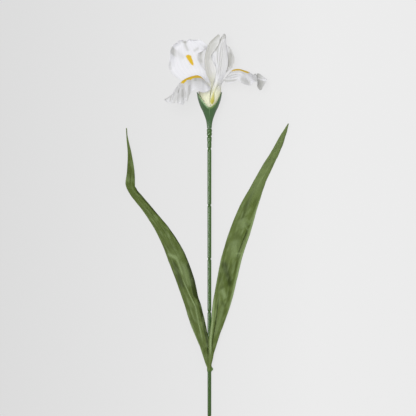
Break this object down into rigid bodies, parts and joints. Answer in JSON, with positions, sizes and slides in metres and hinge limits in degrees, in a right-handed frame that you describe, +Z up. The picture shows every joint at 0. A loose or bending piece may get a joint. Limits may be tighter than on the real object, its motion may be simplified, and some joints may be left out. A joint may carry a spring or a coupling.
{
  "type": "artificial iris flower",
  "caption": "Artificial white iris bloom on a green plastic-coated cut stem with strap leaves, lying flat as if set down on a table.",
  "frame": {"origin": "on the table, under the middle of the lying flower's bounding box", "axes": "+Y along the stem from its cut end to the bloom, +Z up from the table, +X to the right for someone who looks down on it with the bloom at the far end"},
  "size_m": [0.2126, 0.5684, 0.0728],
  "materials": {
    "petal_fabric": "white woven polyester, heat-pressed, with yellow dyed signals and a pale yellow-green foot",
    "leaf_fabric": "green coated woven polyester, pressed with lengthwise veins",
    "stem_plastic": "moulded soft green plastic over a wire, with pinched grooves",
    "calyx_plastic": "moulded dark green plastic with a soft sheen",
    "peg_plastic": "moulded olive-yellow plastic",
    "wire_steel": "bare cut steel wire"
  },
  "bodies": {
    "root": {"stem": "stem_plastic", "stem_wire": "wire_steel", "leaf_collar": "stem_plastic", "calyx": "calyx_plastic", "petal_peg": "peg_plastic", "fall_back": "petal_fabric", "fall_left": "petal_fabric", "fall_right": "petal_fabric", "standard_left": "petal_fabric", "standard_right": "petal_fabric", "standard_back": "petal_fabric", "leaf_left": "leaf_fabric", "leaf_right": "leaf_fabric"}
  },
  "joints": []
}
